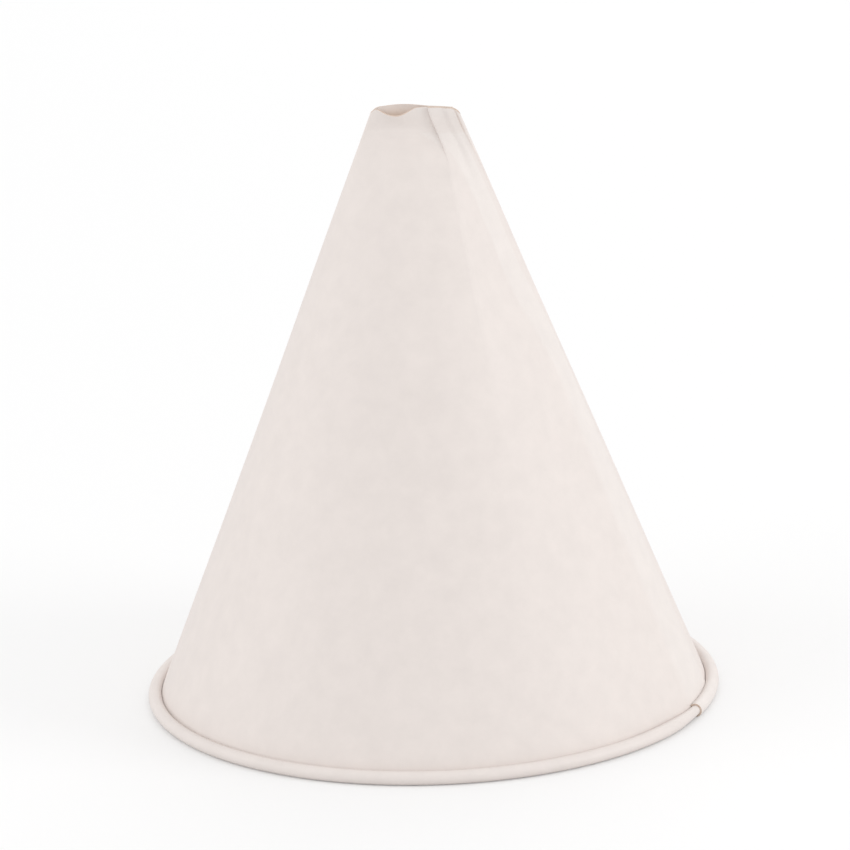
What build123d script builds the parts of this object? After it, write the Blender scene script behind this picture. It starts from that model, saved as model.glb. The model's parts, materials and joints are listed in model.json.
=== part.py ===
from build123d import *
from build123d.topology import SkipClean
import os
from math import acos, atan, cos, degrees, radians, sin, tan

# A rolled rim paper cone cup of ten fluid ounces, standing on its mouth with the tip up.
# The axis is Z, the rim stands on z = 0 and the front of the cup looks along minus Y.
# Lengths are in millimetres and angles in degrees.

# The cone and its sheet
mouth_radius = 47.75     # inside of the wall where it turns into the curl
tip_radius = 6.95636     # the same at the end of the tip, if it were round
overall_height = 106.5   # from the bottom of the curl to the end of the tip
sheet = 0.30             # thickness of the coated paper

# The rolled rim
curl_radius = 1.22       # outside radius of the rolled edge
curl_clearance = 0.05    # between the end of the roll and the wall
collar_height = 2.8      # height of the rim section, from the floor to above the roll
outer_run_counts = (3, 3, 5)   # straight runs that draw it: down to the floor, out, and back
inner_run_counts = (2, 3, 3)   # the same on its inside

# The glued lap seam, placed by its turn from the front towards the right
seam_turn = 68.0         # to the cut edge of the inner layer
lap_width = 12.5         # overlap of the two layers, measured at the mouth
ramp_width = 11.0        # where the outer layer comes down beside that edge, at the mouth
bond = 0.06              # how far a glued layer reaches into the one below

# The pinched and folded tip
fold_length = 48.0       # from the end of the tip down to where the cone is round
ridge_turn = 30.0        # turn of the flap's edge where the cone is round, from the front
ridge_share = 0.38       # place of that edge at the tip, as a share of the half width
edge_turn = 1.2          # width of the flap's edge where it fades out, as a turn
edge_run = 0.35          # width of the flap's edge at the tip, seen from the front
gape_depth = 2.0         # front to back inside the open lips of the tip
gape_reach = 3.2         # how far the opening goes down before the glued pinch
gape_margin = 0.8        # from the left corner of the tip to the opening
lip_closing = 0.35       # how fast the opening narrows from its ends on the way down
lip_lean = 0.3           # how much wider the opening is on its left than on its right
pinch_height = 1.3       # height of the glued pinch below the opening
slot_depth = 0.35        # where the hollow ends against the pinch, front to back
corner_radius = 1.1      # on the two corners of the tip, seen from the front
left_sharpness = 8       # of the fold on the left of the flattened tip
left_crowding = 1.5      # of the outline's points towards that fold
back_fullness = 0.6      # of the flattened back, where 1 is a half wave and 0 a flat face
slot_sharpness = 4       # of the two ends of the flattened hollow
most_layers = 4          # sheets that lie on each other, on the right of the tip


def wall_angle():
    """Between the axis and the wall, whose foot on the roll depends a little on it."""
    angle = 0
    for _ in range(9):  # it settles within a few rounds
        foot = curl_radius * (1 - sin(radians(angle)))
        angle = degrees(atan((mouth_radius - tip_radius) / (overall_height - foot)))
    return angle


# Sizes that follow from them
half_angle = wall_angle()
slope = tan(radians(half_angle))
level_sheet = sheet / cos(radians(half_angle))
curl_start = curl_radius * (1 - sin(radians(half_angle)))
curl_ring = mouth_radius + curl_radius * cos(radians(half_angle))
round_height = overall_height - fold_length
gape_floor = overall_height - gape_reach
pinch_floor = gape_floor - pinch_height
lap_turn = degrees(lap_width / mouth_radius)
ramp_turn = degrees(ramp_width / mouth_radius)
ramp_foot = seam_turn - ramp_turn * (1 + bond / sheet)
quarter = 90.0
touching = 1e-6          # ends of curves that are nearer than this are one point
aside = 0.01             # share of the facet on either side of a point that gives its direction
curve_shares = [i / 8 for i in range(9)]
fold_shares = [i / 14 for i in range(15)]
fold_heights = [round_height + (pinch_floor - round_height) * share for share in fold_shares]


def inner_radius(height):
    return mouth_radius - (height - curl_start) * slope


def outer_radius(height):
    return inner_radius(height) + level_sheet


def at_turn(radius, turn, height):
    return Vector(radius * sin(radians(turn)), -radius * cos(radians(turn)), height)


def mix(first, second, share):
    return first + (second - first) * share


# The wall's outline has four stretches: the front, from the left corner to the flap; the
# flap's edge; the facet, from that edge to the right corner; and the back.
turns = {
    "front": (-quarter, ridge_turn - edge_turn),
    "edge": (ridge_turn - edge_turn, ridge_turn),
    "facet": (ridge_turn, quarter),
    "back": (quarter, 3 * quarter),
}


def round_point(name, share, height, inset):
    turn = mix(*turns[name], share)
    return at_turn(outer_radius(height) - inset / cos(radians(half_angle)), turn, height)


def lens(place):
    """How open the tip is, from 0 at both ends, -1 and 1, to about 1 left of the middle."""
    return max(0.0, 1 - place ** 2) * (1 - lip_lean * place)


def lips(x, half):
    left = -half + gape_margin
    right = ridge_share * half - edge_run
    return lens((2 * x - left - right) / (right - left))


def flat_point(name, share, height, opening):
    """Outer face of the flattened tip, with two layers on its left and four on its right."""
    half = outer_radius(height)
    edge_foot = ridge_share * half - edge_run
    if name == "front":
        x = mix(-half, edge_foot, share ** left_crowding)
        y = mix(sheet, -opening * lips(x, half), 1 - (1 - share) ** left_sharpness)
    elif name == "edge":
        x = mix(edge_foot, edge_foot + edge_run, share)
        y = mix(0, -2 * sheet, share)
    elif name == "facet":
        x = mix(edge_foot + edge_run, half, share)
        y = mix(-2 * sheet, 0, share)
    else:
        x = half * cos(radians(2 * quarter * share))
        bulge = sin(radians(2 * quarter * share)) ** back_fullness
        y = mix(2 * sheet * bulge, sheet + sheet * bulge, share)
    return Vector(x, y, height)


def slot_point(name, share, height):
    """The narrow end of the hollow, between the two innermost layers."""
    half = outer_radius(height) - 2 * sheet
    front_face = sheet - slot_depth
    edge_foot = ridge_share * half - edge_run
    if name == "front":
        x = mix(-half, edge_foot, share)
        y = mix(sheet, front_face, 1 - (1 - share) ** slot_sharpness)
    elif name == "edge":
        x = mix(edge_foot, edge_foot + edge_run, share)
        y = front_face
    elif name == "facet":
        x = mix(edge_foot + edge_run, half, share)
        y = mix(front_face, sheet, share ** slot_sharpness)
    else:
        x = half * cos(radians(2 * quarter * share))
        y = sheet + bond * sin(radians(2 * quarter * share))
    return Vector(x, y, height)


def flattening(height):
    """0 where the cone is round, 1 at the pinch, and gentle where it starts."""
    return ((height - round_height) / (pinch_floor - round_height)) ** 2


def outer_point(name, share, height):
    if height <= round_height:
        return round_point(name, share, height, 0)
    if height > pinch_floor:
        return flat_point(name, share, height, gape_depth)
    pressed = flat_point(name, share, pinch_floor, slot_depth) - round_point(name, share, pinch_floor, 0)
    return round_point(name, share, height, 0) + pressed * flattening(height)


def inner_point(name, share, height):
    if height <= round_height:
        return round_point(name, share, height, sheet)
    pressed = slot_point(name, share, pinch_floor) - round_point(name, share, pinch_floor, sheet)
    return round_point(name, share, height, sheet) + pressed * flattening(height)


def outline(point, height):
    edges = []
    for name in turns:
        if height <= round_height:
            edges.append(Edge.make_three_point_arc(*[point(name, share, height) for share in (0, 0.5, 1)]))
        else:
            edges.append(Edge.make_spline([point(name, share, height) for share in curve_shares]))
    return Wire(edges)


def ruled(wires):
    return Solid.make_loft(wires, ruled=True)


def folded_body():
    cone = ruled([outline(outer_point, height) for height in (collar_height, round_height)])
    fold = ruled([outline(outer_point, height) for height in fold_heights])
    tip = ruled([outline(outer_point, height) for height in (pinch_floor, overall_height)])
    return cone + fold + tip


def hollow():
    cone = ruled([outline(inner_point, height) for height in (collar_height, round_height)])
    return cone + ruled([outline(inner_point, height) for height in fold_heights])


# The seam lies on the facet. Its outer layer covers the lap and comes down on a ramp.


def seam_point(turn, height, inset):
    """A point of the seam at an inset from the wall's outer face, negative when outside it."""
    share = (turn - ridge_turn) / (quarter - ridge_turn)
    point = outer_point("facet", share, height)
    along = outer_point("facet", share + aside, height) - outer_point("facet", share - aside, height)
    outward = Vector(along.Y, -along.X, 0).normalized()
    return point - outward * (inset / cos(radians(half_angle)))


def seam_curve(height, start_turn, end_turn, start_inset, end_inset):
    points = []
    for share in curve_shares:
        turn = mix(start_turn, end_turn, share)
        points.append(seam_point(turn, height, mix(start_inset, end_inset, share)))
    return Edge.make_spline(points)


def closed_by_lines(curves):
    edges = []
    for i, piece in enumerate(curves):
        following = curves[(i + 1) % len(curves)]
        edges.append(piece)
        if (piece @ 1 - following @ 0).length > touching:
            edges.append(Edge.make_line(piece @ 1, following @ 0))
    return Wire(edges)


def lap_outline(height):
    lap_edge = seam_turn + lap_turn
    under = 2 * bond
    return closed_by_lines([
        seam_curve(height, lap_edge, seam_turn, -sheet, -sheet),
        seam_curve(height, seam_turn, ramp_foot, -sheet, bond),
        seam_curve(height, ramp_foot, lap_edge, under, under),
    ])


def outer_layer():
    cone = ruled([lap_outline(height) for height in (collar_height, round_height)])
    fold = ruled([lap_outline(height) for height in fold_heights])
    tip = ruled([lap_outline(height) for height in (pinch_floor, overall_height)])
    return cone + fold + tip


def seam_groove():
    """Inside, the same layer stands off the hollow's face up to the cut edge it covers."""
    wires = []
    for height, depth in ((collar_height, sheet), (round_height, -bond)):
        wires.append(closed_by_lines([
            seam_curve(height, seam_turn, ramp_foot, sheet - depth, sheet + bond),
            seam_curve(height, ramp_foot, seam_turn, 2 * sheet, 2 * sheet),
        ]))
    return ruled(wires)


# The rim. A section of it has a distance from the wall's inner face to the paper and the
# thickness of the paper there, which is one sheet, or two where the layers overlap.


def rim_section(turn, start, thickness):
    lean = radians(half_angle)
    outer = curl_radius - start
    inner = outer - thickness
    closing = acos((inner - curl_clearance) / outer)
    first_angle = 2 * quarter + half_angle
    last_angle = first_angle + 4 * quarter - degrees(closing)
    marks = (first_angle, 3 * quarter, 4 * quarter, last_angle)

    def on_roll(radius, runs):
        angles = [first_angle]
        for count, start, end in zip(runs, marks, marks[1:]):
            angles += [mix(start, end, (i + 1) / count) for i in range(count)]
        points = []
        for angle in angles:
            ring = curl_ring + radius * cos(radians(angle))
            points.append(at_turn(ring, turn, curl_radius + radius * sin(radians(angle))))
        return points

    def on_collar(distance):
        return at_turn(inner_radius(collar_height) + distance / cos(lean), turn, collar_height)

    roll = on_roll(outer, outer_run_counts) + on_roll(inner, inner_run_counts)[::-1]
    return Wire.make_polygon([on_collar(start)] + roll + [on_collar(start + thickness)])


def single_rim():
    section = Face(rim_section(seam_turn + lap_turn, 0, sheet))
    return revolve(section, Axis.Z, revolution_arc=4 * quarter - lap_turn - ramp_turn)


def double_rim():
    return revolve(Face(rim_section(seam_turn, 0, 2 * sheet)), Axis.Z, revolution_arc=lap_turn)


def ramp_rim():
    wires = []
    for share in curve_shares:
        turn = seam_turn - ramp_turn * (1 - share)
        wires.append(rim_section(turn, sheet * share, sheet))
    return Solid.make_loft(wires)


def open_lips():
    """The pocket between the two layers that stand apart at the end of the tip."""
    wires = []
    for height, opening in ((gape_floor, slot_depth), (overall_height + sheet, gape_depth)):
        half = outer_radius(overall_height)
        shift = (overall_height - height) * lip_closing
        left = -half + gape_margin + shift
        right = ridge_share * half - edge_run - shift
        points = []
        for share in curve_shares:
            x = mix(left, right, share)
            points.append(Vector(x, sheet - opening * lens(2 * share - 1), height))
        wires.append(Wire([Edge.make_spline(points), Edge.make_line(points[-1], points[0])]))
    return ruled(wires)


def corner_waste(side):
    """What is taken off a corner of the tip so that it is round, seen from the front."""
    half = outer_radius(overall_height)
    open_angle = radians(quarter + half_angle)
    tangent = corner_radius / tan(open_angle / 2)
    depth = gape_depth + most_layers * sheet
    corner = Vector(side * half, -depth, overall_height)
    down = Vector(side * sin(radians(half_angle)), 0, -cos(radians(half_angle)))
    on_top = corner - Vector(side * tangent, 0, 0)
    on_side = corner + down * tangent
    centre = on_top - Vector(0, 0, corner_radius)
    nearest = centre + (corner - centre).normalized() * corner_radius
    beyond = corner + Vector(side * sheet, 0, sheet)
    profile = Wire([
        Edge.make_three_point_arc(on_top, nearest, on_side),
        Edge.make_line(on_side, beyond),
        Edge.make_line(beyond, on_top),
    ])
    return extrude(Face(profile), amount=2 * depth, dir=Vector(0, 1, 0))


def paper_cup():
    wall = folded_body() - hollow() + outer_layer() - seam_groove() - open_lips()
    with SkipClean():
        cup = wall + (single_rim() + double_rim() + ramp_rim())
        for side in (-1, 1):
            cup = cup - corner_waste(side)
    return cup.solid()


cup = paper_cup()
print("cup volume", round(cup.volume), "valid", cup.is_valid)
os.makedirs("parts", exist_ok=True)
export_step(cup, "parts/paper_cup.step")
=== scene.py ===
import bpy
import json
from math import acos, atan, atan2, cos, degrees, radians, sin, sqrt, tan
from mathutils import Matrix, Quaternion, Vector

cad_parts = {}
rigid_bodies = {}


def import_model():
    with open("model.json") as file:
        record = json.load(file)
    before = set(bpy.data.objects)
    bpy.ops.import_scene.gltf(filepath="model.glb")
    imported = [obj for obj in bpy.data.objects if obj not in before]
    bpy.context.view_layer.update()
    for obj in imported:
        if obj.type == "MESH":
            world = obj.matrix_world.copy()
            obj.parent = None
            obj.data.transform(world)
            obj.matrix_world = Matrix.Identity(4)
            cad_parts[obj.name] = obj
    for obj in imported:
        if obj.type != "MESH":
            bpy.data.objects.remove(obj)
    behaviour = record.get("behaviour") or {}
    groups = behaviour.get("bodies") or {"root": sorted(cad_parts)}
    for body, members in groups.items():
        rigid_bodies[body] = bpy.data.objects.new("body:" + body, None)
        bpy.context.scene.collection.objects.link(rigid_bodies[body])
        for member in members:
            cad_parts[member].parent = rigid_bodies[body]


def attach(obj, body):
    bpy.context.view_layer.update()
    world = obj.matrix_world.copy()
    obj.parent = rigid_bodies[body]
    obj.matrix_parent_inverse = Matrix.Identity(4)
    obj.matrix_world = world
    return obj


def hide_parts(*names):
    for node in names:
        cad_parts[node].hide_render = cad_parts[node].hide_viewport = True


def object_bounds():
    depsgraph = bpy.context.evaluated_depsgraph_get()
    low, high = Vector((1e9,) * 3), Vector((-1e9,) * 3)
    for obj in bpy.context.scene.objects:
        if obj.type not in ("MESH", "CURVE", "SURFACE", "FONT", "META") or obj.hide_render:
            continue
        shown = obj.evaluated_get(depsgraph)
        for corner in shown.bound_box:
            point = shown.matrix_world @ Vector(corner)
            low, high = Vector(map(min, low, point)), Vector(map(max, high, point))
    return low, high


for item in list(bpy.data.objects):  # what a new file starts with
    bpy.data.objects.remove(item)
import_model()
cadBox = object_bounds()

# A rolled rim paper cone cup standing on its mouth. Lengths are in metres, angles in degrees.
# A turn is an angle round the axis, measured from the front, which is minus Y, to the right.


def mix(first, second, share):
    return first + (second - first) * share


def ease(share):
    share = min(1.0, max(0.0, share))
    return share * share * (3 - 2 * share)


def steps(first, last, count):  # count values after the first, the last one included
    return [mix(first, last, (i + 1) / count) for i in range(count)]


# The paper cup: one blank, rolled into a cone, lapped, rolled at the mouth and folded at the tip

cup = {
    "mouthRadius": 0.04775,     # inside of the wall where it turns into the roll
    "halfAngle": 21.1,          # between the axis and the wall
    "height": cadBox[1][2] - 0.00003,  # leaves room for the thickness at the end of the tip
    "sheet": 0.00030,           # thickness of the paper
    "airGap": 0.00003,          # between layers that lie on each other
    "rollRadius": 0.00120,      # outside of the rolled edge
    "rollClearance": 0.00004,   # between the end of the roll and the wall
    "rollFade": 3.0,            # turn over which the roll closes up again after the lap
    "wallStart": 0.0016,        # lowest row of the wall above the roll
    "lapStart": 68.0,           # turn of the inner layer's cut edge
    "lapEnd": 83.0,             # turn of the outer layer's cut edge
    "rampStart": 54.8,          # where the outer layer starts to climb over the inner edge
    "foldLength": 0.048,        # from the end of the tip down to where the cone is round
    "pinchDepth": 0.0045,       # from the end of the tip down to the glued pinch
    "gapeReach": 0.0037,        # how far down the lips stand apart
    "gapeFront": 0.0010,        # how far the front lip stands forwards
    "gapeBack": 0.0015,         # how far the back lip stands backwards
    "lipDrop": 0.0014,          # how much lower the front lip is
    "lipSharpness": 1.4,        # of the two ends of the opening
    "gapeWidest": 0.42,         # where the opening is widest, as a share of its length
    "slitStart": 0.80,          # where it is only a slit
    "slitWidth": 0.08,          # of the slit, as a share of its widest place
    "shoulderDrop": 0.0005,     # how much the end slopes down to its right corner
    "cornerRadius": 0.0011,     # on the two corners of the tip
    "rightFold": 1.5,           # radius of the fold at the right corner, in layers
    "leftFold": 0.5,            # and at the left corner
    "ridgeTurn": 30.0,          # the flap's free edge where it fades out
    "ridgeShare": 0.52,         # its place where the tip is flat, as a share of the half width
    "ridgeEndShare": 0.36,      # and at the end of the tip
    "ridgeCurve": 0.008,        # length over which it moves from one to the other
    "ridgeStart": 0.0094,       # from the end of the tip down to where that edge fades out
    "ridgeRise": 0.0044,        # length over which it fades in
    "flapStand": 2.0,           # how far the flap's edge stands off the middle, in layers
    "cornerStand": 1.1,         # and its face at the right corner
    "sinkPace": 1.3,            # how soon the front sinks towards its place under the flap
    "pleatLayers": 2,           # how deep it lies there, in layers
    "pleatTurn": 48.0,          # how far the pleat reaches in under the flap at the tip
    "pleatRise": 0.004,         # length over which it gets there
    "facetStart": 0.5,          # share of the fold over which the facet gets flat
    "cornerBlend": 0.0016,      # round stretch beside the facet's right edge
    "creaseSoftness": 0.0012,   # up and down from the pinch, where the wall bends into it
    "directionStep": 0.4,       # turn to either side, from which the wall's direction is taken
    "dent": 0.00022,            # unevenness of the wall
    "dentStart": 0.004,         # height where it begins to come in
    "dentEnd": 0.07,            # and where it begins to go
    "dentFade": 0.03,           # length over which it does either
    # share, number round the cup, start in radians and twist per metre of each of its waves
    "dentWaves": ((0.5, 2, 0.6, 21), (0.3, 3, -1.9, -47), (0.2, 5, 2.2, 83)),
    # how many places there are along the blank, from the inner cut edge to the outer one
    "rightPlaces": 9,
    "backPlaces": 72,
    "frontPlaces": 52,
    "ridgeGap": 1.5,            # turn from the last of them to the flap's edge
    "pleatShares": (0, 0.1, 0.3, 0.6, 1),     # of the way in under the flap
    "bendAngles": (-60, -30, 0, 30, 60, 90),  # of the half turn at either end of the pleat
    "flapPlaces": 12,
    "rampPlaces": 8,
    "lapPlaces": 8,
    # and how many rows, from the rolled edge up to the end of the tip
    "rollRows": 26,
    "lowRows": (0.0024, 0.004, 0.007),        # heights of those above the wall's lowest row
    "coneRows": 14,
    "foldRows": 36,
    "creaseReach": 0.004,       # from the pinch down to where the rows lie closer
    "creaseRows": 12,
    "tipRows": 14,
    "mergeDistance": 1e-6,      # places closer than this become one
    "smoothAngle": 40.0,        # edges sharper than this stay sharp
    # what the paper's look reads from the mesh
    "lapStartFade": 2.0,        # turn over which the lap begins to look like two layers
    "lapEndFade": 0.6,          # and ends
    "ridgeFade": 0.0006,        # the same at the flap's edge, as a length
    "frontReach": 0.001,        # how far back the front of the tip goes
    "edgeShade": 0.2,            # how much painted shade the inside gets at the end of the tip, where 1 is the full painted shade
    "shadePace": 1.4,            # how soon the full painted shade comes further down in the opening
}

lean = radians(cup["halfAngle"])
layer = cup["sheet"] + cup["airGap"]
rollStart = cup["rollRadius"] * (1 - sin(lean))
rollRing = cup["mouthRadius"] + cup["rollRadius"] * cos(lean)
roundHeight = cup["height"] - cup["foldLength"]
pinchHeight = cup["height"] - cup["pinchDepth"]


def coneRadius(height):  # to the middle of the sheet
    return cup["mouthRadius"] - (height - rollStart) * tan(lean) + cup["sheet"] / 2 / cos(lean)


def lapShare(turn):  # 0 where the outer layer lies on the wall, 1 on top of the inner edge
    return ease((turn - cup["rampStart"]) / (cup["lapStart"] - cup["rampStart"]))


def lapRise(place):  # how far the sheet stands off the wall, by its place along the blank
    return layer * lapShare(place - 360)


def bend(distance, radius):  # quarter circle from 0 to 1
    if distance >= radius:
        return 1.0
    return sqrt(max(0.0, 1 - (1 - distance / radius) ** 2))


def roundPoint(turn, height):
    radius = coneRadius(height)
    return Vector((radius * sin(radians(turn)), -radius * cos(radians(turn)), height))


def ridgeShare(height):
    share = (height - cup["height"]) / cup["ridgeCurve"] + 1
    return mix(cup["ridgeShare"], cup["ridgeEndShare"], ease(share))


def frontShare(turn):  # 0 at the left corner of the front, 1 at the flap's edge
    return (1 + sin(radians(turn))) / (1 + sin(radians(cup["ridgeTurn"])))


def sunken(share):  # how far the front has sunk towards its place under the flap
    return ease(cup["sinkPace"] * share)


def flatPoint(turn, height, ridgeAt):  # outline of the flattened tip, the flap's edge at ridgeAt
    half = coneRadius(height)
    ridge = cup["ridgeTurn"]
    rightFold, leftFold = cup["rightFold"] * layer, cup["leftFold"] * layer
    if turn > 90:
        x = half * cos(radians(turn - 90))
        y = rightFold * bend(half - x, rightFold)
        y -= leftFold * (1 - bend(half + x, leftFold))
    elif turn > ridge:
        share = (turn - ridge) / (90 - ridge)
        x = half * mix(ridgeAt, 1, share)
        y = -mix(cup["flapStand"], cup["cornerStand"], share) * layer
        y *= bend(half - x, rightFold)
    else:
        share = frontShare(turn)
        x = mix(-half, half * ridgeAt, share)
        y = rightFold - leftFold - leftFold * bend(half + x, leftFold)
        y -= (cup["flapStand"] * layer + rightFold - 2 * leftFold) * sunken(share)
    return Vector((x, y, height))


def foldShare(height):  # 0 where the cone is round, 1 at the pinch
    share = (height - roundHeight) / (pinchHeight - roundHeight)
    return min(1.0, max(0.0, share))


def pressedPoint(turn, height):
    if height >= pinchHeight:
        return flatPoint(turn, height, ridgeShare(height))
    pressed = flatPoint(turn, pinchHeight, ridgeShare(height)) - roundPoint(turn, pinchHeight)
    return roundPoint(turn, height) + pressed * foldShare(height) ** 2


def bentPoint(turn, height):  # the same without a sharp bend at the pinch
    reach = cup["creaseSoftness"]
    if abs(height - pinchHeight) > reach:
        return pressedPoint(turn, height)
    near = [pressedPoint(turn, height + reach * step / 3) for step in range(-3, 4)]
    blend = sum(near, Vector()) / len(near)
    return pressedPoint(turn, height).lerp(blend, 1 - ease(abs(height - pinchHeight) / reach))


def wallPoint(turn, height):  # middle of the sheet on the wall's main layer
    point = bentPoint(turn, height)
    ridge = cup["ridgeTurn"]
    if ridge < turn < 90:
        first, last = bentPoint(ridge, height), bentPoint(90, height)
        share = (point.x - first.x) / (last.x - first.x)
        flat = ease(foldShare(height) / cup["facetStart"])
        flat *= bend((last - point).length, cup["cornerBlend"])
        point = point.lerp(first.lerp(last, share), flat)
    return point


def outward(turn, height):
    step = cup["directionStep"]
    along = wallPoint(turn + step, height) - wallPoint(turn - step, height)
    return Vector((along.y, -along.x, 0)).normalized()


def unevenness(turn, height):
    waves = sum(size * sin(count * radians(turn) + start + twist * height)
                for size, count, start, twist in cup["dentWaves"])
    fade = ease((height - cup["dentStart"]) / cup["dentFade"])
    fade *= 1 - ease((height - cup["dentEnd"]) / cup["dentFade"])
    return cup["dent"] * waves * fade


# How the blank is divided: places along it, and rows from its rolled edge up to the tip

def pleatBend(place, under, depth, side):  # half a turn from one layer up to the next
    return [(place, under, depth - sin(radians(angle)) / 2, side * cos(radians(angle)) / 2)
            for angle in cup["bendAngles"]]


def blankPlaces():  # each is (place, share of the way in under the flap, layers down, layers aside)
    ridge, ramp = cup["ridgeTurn"] + 360, cup["rampStart"] + 360
    lapEdge, lastEdge = cup["lapStart"] + 360, cup["lapEnd"] + 360
    plain = [cup["lapStart"]] + steps(cup["lapStart"], 90, cup["rightPlaces"])
    plain += steps(90, 270, cup["backPlaces"])
    plain += steps(270, ridge - cup["ridgeGap"], cup["frontPlaces"])
    rows = [(place, 0, 0, 0) for place in plain]
    rows += [(ridge, share, 2, 0) for share in cup["pleatShares"]]
    rows += pleatBend(ridge, 1, 1.5, 1)
    rows += [(ridge, share, 1, 0) for share in reversed(cup["pleatShares"][:-1])]
    rows += pleatBend(ridge, 0, 0.5, -1)
    ends = steps(ridge, ramp, cup["flapPlaces"]) + steps(ramp, lapEdge, cup["rampPlaces"])
    ends += steps(lapEdge, lastEdge, cup["lapPlaces"])
    return rows + [(place, 0, 0, 0) for place in ends]


def asTurn(place):
    return place - 360 if place >= 270 else place


def rollAngle(place):  # how far the sheet is rolled before it meets the wall
    turn = asTurn(place)
    covered = layer * lapShare(turn)
    covered *= 1 - ease((turn - cup["lapEnd"]) / cup["rollFade"])
    face = cup["rollRadius"] - cup["sheet"] - covered - cup["rollClearance"]
    return 360 - degrees(acos(face / (cup["rollRadius"] - lapRise(place))))


def rollPoint(place, share):  # share 0 at the wall, 1 at the cut edge
    turn = radians(asTurn(place))
    angle = radians(180 + cup["halfAngle"] + rollAngle(place) * share)
    radius = cup["rollRadius"] - cup["sheet"] / 2 - lapRise(place)
    ring = rollRing + radius * cos(angle)
    return Vector((ring * sin(turn), -ring * cos(turn), cup["rollRadius"] + radius * sin(angle)))


def lens(share):  # how open the front lip is along the opening, from its left end to the flap
    widest, slit = cup["gapeWidest"], cup["slitStart"]
    if share < widest:
        return sin(radians(90 * max(0.0, share) / widest)) ** cup["lipSharpness"]
    wide = 1 - ease((share - widest) / (slit - widest))
    return mix(cup["slitWidth"], 1, wide) * (1 - ease((share - slit) / (1 - slit)))


def backLens(share):
    return sin(radians(180 * min(1.0, max(0.0, share)))) ** cup["lipSharpness"]


def openingShare(x):
    half = coneRadius(cup["height"])
    return (x + half) / (half * (1 + cup["ridgeEndShare"]))


def endHeight(turn, onFront):  # of the cut edge at the tip
    half = coneRadius(cup["height"])
    x = flatPoint(turn, cup["height"], cup["ridgeEndShare"]).x
    radius = cup["cornerRadius"]
    near = min(radius, max(0.0, radius - (half - abs(x))))
    height = cup["height"] - (radius - sqrt(radius ** 2 - near ** 2))
    height -= cup["shoulderDrop"] * max(0.0, x / half) ** 2
    if onFront and x < half * cup["ridgeEndShare"]:
        height -= cup["lipDrop"] * lens(openingShare(x))
    return height


def sheetPoint(place, under, layersDown, sideStep, height):
    turn = asTurn(place)
    ridge = cup["ridgeTurn"]
    aboveStart = height - cup["height"] + cup["ridgeStart"]
    rise = ease(aboveStart / cup["ridgeRise"])
    if layersDown:
        reach = ease((aboveStart - cup["ridgeRise"]) / cup["pleatRise"])
        turn = ridge + under * cup["pleatTurn"] * reach
    point = wallPoint(turn, height)
    normal = outward(turn, height)
    offset = lapRise(place) + unevenness(turn, height)
    if layersDown:
        offset -= layersDown * layer * rise
        along = Vector((-normal.y, normal.x, 0))
        point += along * sideStep * layer * rise
    elif turn < ridge:
        offset -= cup["pleatLayers"] * layer * rise * sunken(frontShare(turn))
    return point + normal * offset / cos(lean)


def gape(point, place, layersDown):  # opens the two layers left of the flap
    turn = asTurn(place)
    opened = ease((point.z - cup["height"] + cup["gapeReach"]) / cup["gapeReach"])
    share = openingShare(point.x)
    if layersDown or share >= 1 or opened <= 0:
        return point
    if turn > 90:
        point.y += cup["gapeBack"] * backLens(share) * opened
    elif turn < cup["ridgeTurn"]:
        point.y -= cup["gapeFront"] * lens(share) * opened
    return point


rollShares = [i / cup["rollRows"] for i in range(cup["rollRows"], -1, -1)]
wallHeights = [cup["wallStart"], *cup["lowRows"]]
wallHeights += steps(wallHeights[-1], roundHeight, cup["coneRows"])
creaseStart = pinchHeight - cup["creaseReach"]
foldHeights = steps(roundHeight, creaseStart, cup["foldRows"])
foldHeights += steps(creaseStart, pinchHeight, cup["creaseRows"])
tipShares = steps(0, 1, cup["tipRows"])


def blankColumn(place, under, layersDown, sideStep):
    column = [rollPoint(place, share) for share in rollShares]
    for height in wallHeights + foldHeights:
        column.append(sheetPoint(place, under, layersDown, sideStep, height))
    turn = asTurn(place)
    end = endHeight(turn + under * cup["pleatTurn"], turn < cup["ridgeTurn"])
    for share in tipShares:
        height = mix(pinchHeight, end, share)
        point = sheetPoint(place, under, layersDown, sideStep, height)
        column.append(gape(point, place, layersDown))
    return column


def rolledBlank():
    columns = [blankColumn(*place) for place in blankPlaces()]
    count = len(columns)
    bpy.ops.object.select_all(action="DESELECT")
    bpy.ops.mesh.primitive_grid_add(x_subdivisions=count - 1,
                                    y_subdivisions=len(columns[0]) - 1, size=1)
    blank = bpy.context.object
    blank.name = "paperCup"
    for i, vertex in enumerate(blank.data.vertices):
        vertex.co = columns[i % count][i // count]
    return blank


def markLayers(piece):  # for the paper's look: layers at each place, and painted shade deeper in the opening
    layers = piece.data.attributes.new("layers", "FLOAT", "POINT")
    openingShadeMask = piece.data.attributes.new("opening", "FLOAT", "POINT")
    for i, vertex in enumerate(piece.data.vertices):
        x, y, z = vertex.co
        turn = degrees(atan2(x, -y))
        lap = ease((turn - cup["lapStart"]) / cup["lapStartFade"] + 0.5)
        lap *= 1 - ease((turn - cup["lapEnd"]) / cup["lapEndFade"] + 0.5)
        pleat = ease((z - cup["height"] + cup["ridgeStart"]) / cup["ridgeRise"])
        if pleat and x > 0 and y < cup["frontReach"]:
            ridge = wallPoint(cup["ridgeTurn"], z).x
            pleat *= ease((x - ridge) / cup["ridgeFade"] + 0.5)
        else:
            pleat = 0
        layers.data[i].value = lap + pleat
        # painted shade inside the tip's opening, light at the cut end and full further down
        depth = (cup["height"] - z) / cup["gapeReach"]
        shadeAmount = mix(cup["edgeShade"], 1, ease(cup["shadePace"] * depth))
        openingShadeMask.data[i].value = shadeAmount if z > pinchHeight else 0


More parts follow.
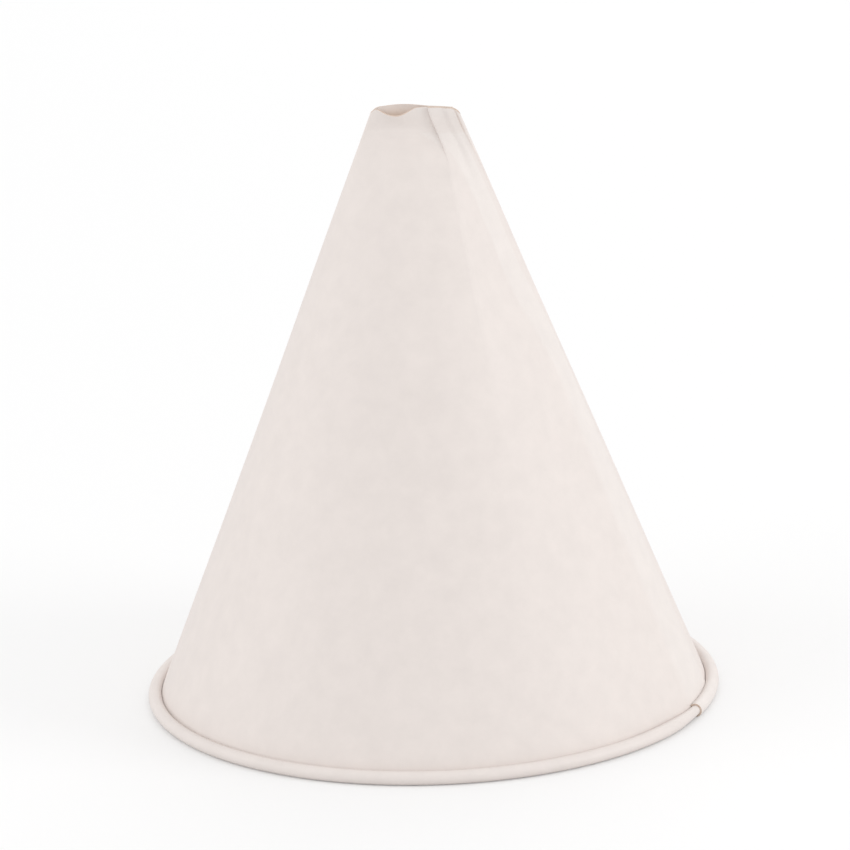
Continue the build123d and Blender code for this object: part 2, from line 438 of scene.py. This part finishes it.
def makeCup():
    piece = rolledBlank()
    bpy.ops.object.mode_set(mode="EDIT")
    bpy.ops.mesh.select_all(action="SELECT")
    bpy.ops.mesh.remove_doubles(threshold=cup["mergeDistance"])
    bpy.ops.object.mode_set(mode="OBJECT")
    piece.data.materials.append(paperMaterial("cupPaperOutside", outsidePaper))
    piece.data.materials.append(paperMaterial("cupPaperInside", insidePaper))
    piece.data.materials.append(cutEdgeMaterial())
    wall = piece.modifiers.new("paper", "SOLIDIFY")
    wall.thickness = cup["sheet"]
    wall.offset = 0
    wall.use_rim = True
    wall.material_offset = 1
    wall.material_offset_rim = 2
    bpy.ops.object.modifier_apply(modifier=wall.name)
    bpy.ops.object.shade_smooth_by_angle(angle=radians(cup["smoothAngle"]))
    markLayers(piece)
    return piece


# The paper's look

fibres = {
    "clouds": (260.0, 6.0),              # scale and detail of the noise
    "cloudRoughness": 0.62,
    "cloudRange": (0.3, 0.7),            # of the values that make the paper darker or lighter
    "threads": (1500.0, 4.0),
    "threadDistortion": 1.6,
    "dimples": (420.0, 3.0),
    "smoother": 0.06,                    # how far the gloss of a cloud departs from the mean
    "rougher": 0.08,
    "relief": 0.0001,
    "reliefStrength": 0.5,
    "gloss": 0.35,
}
outsidePaper = {
    "shade": (0.80, 0.735, 0.70, 1),     # one layer
    "dense": (0.82, 0.762, 0.728, 1),    # where two or more layers lie on each other
    # painted shade in the opening; on this side it is the plain sheet's colour, so none shows
    "opening": (0.80, 0.735, 0.70, 1),
    "cloud": 0.05,                       # unevenness of the pulp
    "roughness": 0.55,
    "grain": 0.14,
}
insidePaper = {
    "shade": (0.80, 0.735, 0.70, 1),
    "dense": (0.82, 0.76, 0.725, 1),
    "opening": (0.71, 0.55, 0.44, 1),    # painted shade deep inside the opening at the tip
    "cloud": 0.05,
    "roughness": 0.42,
    "grain": 0.10,
}
cutEdge = {
    "shade": (0.75, 0.62, 0.53, 1),
    "dark": (0.64, 0.50, 0.41, 1),
    "grain": (9000.0, 3.0),              # scale and detail of the noise
    "relief": 0.00005,
    "roughness": 0.85,
}


def noise(nodes, scaleAndDetail):
    texture = nodes.new("ShaderNodeTexNoise")
    for name, value in zip(("Scale", "Detail"), scaleAndDetail):
        texture.inputs[name].default_value = value
    return texture


def fibreGroup():  # clouds of pulp, fine fibres and the grain of the sheet
    group = bpy.data.node_groups.new("paperFibres", "ShaderNodeTree")
    group.interface.new_socket("Grain", in_out="INPUT", socket_type="NodeSocketFloat")
    for name in ("Cloud", "Height"):
        group.interface.new_socket(name, in_out="OUTPUT", socket_type="NodeSocketFloat")
    nodes, links = group.nodes, group.links
    given, out = nodes.new("NodeGroupInput"), nodes.new("NodeGroupOutput")
    place = nodes.new("ShaderNodeTexCoord")
    cloud = noise(nodes, fibres["clouds"])
    cloud.inputs["Roughness"].default_value = fibres["cloudRoughness"]
    thread = noise(nodes, fibres["threads"])
    thread.inputs["Distortion"].default_value = fibres["threadDistortion"]
    dimple = noise(nodes, fibres["dimples"])
    total = nodes.new("ShaderNodeMath")
    total.operation = "ADD"
    scaled = nodes.new("ShaderNodeMath")
    scaled.operation = "MULTIPLY"
    for texture in (cloud, thread, dimple):
        links.new(place.outputs["Object"], texture.inputs["Vector"])
    links.new(thread.outputs["Fac"], total.inputs[0])
    links.new(dimple.outputs["Fac"], total.inputs[1])
    links.new(total.outputs[0], scaled.inputs[0])
    links.new(given.outputs["Grain"], scaled.inputs[1])
    links.new(cloud.outputs["Fac"], out.inputs["Cloud"])
    links.new(scaled.outputs[0], out.inputs["Height"])
    return group


def startMaterial(name):
    material = bpy.data.materials.new(name)
    material.use_nodes = True
    nodes, links = material.node_tree.nodes, material.node_tree.links
    return material, nodes, links, nodes["Principled BSDF"]


def mixColour(nodes, blend="MIX"):
    node = nodes.new("ShaderNodeMix")
    node.data_type = "RGBA"
    node.blend_type = blend
    return node


def attribute(nodes, name):
    node = nodes.new("ShaderNodeAttribute")
    node.attribute_name = name
    return node.outputs["Fac"]


def mapRange(nodes, low, high):
    node = nodes.new("ShaderNodeMapRange")
    node.inputs["To Min"].default_value = low
    node.inputs["To Max"].default_value = high
    return node


def paperMaterial(name, look):
    material, nodes, links, shader = startMaterial(name)
    pulp = nodes.new("ShaderNodeGroup")
    pulp.node_tree = bpy.data.node_groups.get("paperFibres") or fibreGroup()
    pulp.inputs["Grain"].default_value = look["grain"]
    sheet = mixColour(nodes)
    sheet.inputs["A"].default_value = look["shade"]
    sheet.inputs["B"].default_value = look["dense"]
    links.new(attribute(nodes, "layers"), sheet.inputs["Factor"])
    # painted shade deep in the tip's opening, mixed over the sheet's colour
    shadedOpening = mixColour(nodes)
    shadedOpening.inputs["B"].default_value = look["opening"]
    links.new(attribute(nodes, "opening"), shadedOpening.inputs["Factor"])
    links.new(sheet.outputs["Result"], shadedOpening.inputs["A"])
    spread = mapRange(nodes, 1 - look["cloud"], 1.0)
    spread.inputs["From Min"].default_value = fibres["cloudRange"][0]
    spread.inputs["From Max"].default_value = fibres["cloudRange"][1]
    links.new(pulp.outputs["Cloud"], spread.inputs["Value"])
    clouded = mixColour(nodes, "MULTIPLY")
    clouded.inputs["Factor"].default_value = 1.0
    links.new(shadedOpening.outputs["Result"], clouded.inputs["A"])
    links.new(spread.outputs["Result"], clouded.inputs["B"])
    links.new(clouded.outputs["Result"], shader.inputs["Base Color"])
    rough = look["roughness"]
    gloss = mapRange(nodes, rough - fibres["smoother"], rough + fibres["rougher"])
    links.new(pulp.outputs["Cloud"], gloss.inputs["Value"])
    links.new(gloss.outputs["Result"], shader.inputs["Roughness"])
    bump = nodes.new("ShaderNodeBump")
    bump.inputs["Distance"].default_value = fibres["relief"]
    bump.inputs["Strength"].default_value = fibres["reliefStrength"]
    links.new(pulp.outputs["Height"], bump.inputs["Height"])
    links.new(bump.outputs["Normal"], shader.inputs["Normal"])
    shader.inputs["Specular IOR Level"].default_value = fibres["gloss"]
    return material


def cutEdgeMaterial():
    material, nodes, links, shader = startMaterial("cupPaperCutEdge")
    place = nodes.new("ShaderNodeTexCoord")
    grain = noise(nodes, cutEdge["grain"])
    shade = mixColour(nodes)
    shade.inputs["A"].default_value = cutEdge["dark"]
    shade.inputs["B"].default_value = cutEdge["shade"]
    bump = nodes.new("ShaderNodeBump")
    bump.inputs["Distance"].default_value = cutEdge["relief"]
    links.new(place.outputs["Object"], grain.inputs["Vector"])
    links.new(grain.outputs["Fac"], shade.inputs["Factor"])
    links.new(shade.outputs["Result"], shader.inputs["Base Color"])
    links.new(grain.outputs["Fac"], bump.inputs["Height"])
    links.new(bump.outputs["Normal"], shader.inputs["Normal"])
    shader.inputs["Roughness"].default_value = cutEdge["roughness"]
    return material


piece = makeCup()
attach(piece, "root")
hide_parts("paper_cup")
print("paper cup made,", len(piece.data.polygons), "faces")


# Floor, lights and camera

studio = {
    "floorSize": 3.0,
    "floorShade": (0.80, 0.80, 0.80, 1),
    "floorRoughness": 0.9,
    "floorGloss": 0.1,
    "floorGlow": 0.14,       # what makes the floor white for the camera
    "worldLight": 0.89,
    "lampAim": (0, 0, 0.05),
    "elevation": 17.4,       # the height that the photo was taken from
    "tilt": 1.9,             # the cup leans to the left in the photo
    "distance": 1.6,
    "framedHeight": 0.148,   # what the picture shows from bottom to top, at the cup
    "aim": 0.0490,           # height of the picture's centre
}
lamps = {                    # power, width and place of each
    "keyLamp": (2.2, 0.5, (0.85, -0.3, 0.35)),
    "backLamp": (1.2, 0.8, (0.2, 0.9, 0.6)),
    "fillLamp": (1.9, 0.8, (-0.85, -0.25, 0.35)),
}


def cameraOnly(nodes, links, others, camera, target):  # one shader for light, one for the eye
    rays = nodes.new("ShaderNodeLightPath")
    either = nodes.new("ShaderNodeMixShader")
    links.new(rays.outputs["Is Camera Ray"], either.inputs["Fac"])
    links.new(others.outputs[0], either.inputs[1])
    links.new(camera.outputs[0], either.inputs[2])
    links.new(either.outputs[0], target.inputs["Surface"])


def makeWorld():
    world = bpy.data.worlds.new("studio")
    world.use_nodes = True
    bpy.context.scene.world = world
    nodes, links = world.node_tree.nodes, world.node_tree.links
    light, seen = nodes["Background"], nodes.new("ShaderNodeBackground")
    for shader, strength in ((light, studio["worldLight"]), (seen, 1.0)):
        shader.inputs["Color"].default_value = (1, 1, 1, 1)
        shader.inputs["Strength"].default_value = strength
    cameraOnly(nodes, links, light, seen, nodes["World Output"])


def makeFloor():
    bpy.ops.mesh.primitive_plane_add(size=studio["floorSize"], location=(0, 0, 0))
    floor = bpy.context.object
    floor.name = "floor"
    material, nodes, links, shader = startMaterial("floorPaint")
    shader.inputs["Base Color"].default_value = studio["floorShade"]
    shader.inputs["Roughness"].default_value = studio["floorRoughness"]
    shader.inputs["Specular IOR Level"].default_value = studio["floorGloss"]
    glow = nodes.new("ShaderNodeEmission")
    glow.inputs["Strength"].default_value = studio["floorGlow"]
    both = nodes.new("ShaderNodeAddShader")
    links.new(shader.outputs[0], both.inputs[0])
    links.new(glow.outputs[0], both.inputs[1])
    cameraOnly(nodes, links, shader, both, nodes["Material Output"])
    floor.data.materials.append(material)


def areaLight(name, power, size, place):
    data = bpy.data.lights.new(name, "AREA")
    data.energy = power
    data.size = size
    lamp = bpy.data.objects.new(name, data)
    bpy.context.scene.collection.objects.link(lamp)
    lamp.location = place
    towards = Vector(studio["lampAim"]) - Vector(place)
    lamp.rotation_euler = towards.to_track_quat("-Z", "Y").to_euler()


def makeCamera():
    angle = radians(studio["elevation"])
    away = Vector((0, -cos(angle), sin(angle)))
    target = Vector((0, 0, studio["aim"]))
    data = bpy.data.cameras.new("camera")
    data.sensor_fit = "VERTICAL"
    data.angle = 2 * atan(studio["framedHeight"] / 2 / studio["distance"])
    camera = bpy.data.objects.new("camera", data)
    bpy.context.scene.collection.objects.link(camera)
    camera.location = target + away * studio["distance"]
    turned = (-away).to_track_quat("-Z", "Y") @ Quaternion((0, 0, 1), -radians(studio["tilt"]))
    camera.rotation_euler = turned.to_euler()
    bpy.context.scene.camera = camera


makeWorld()
makeFloor()
for name, (power, size, place) in lamps.items():
    areaLight(name, power, size, place)
makeCamera()
view = bpy.context.scene.view_settings
view.view_transform = "Standard"
print("studio made")
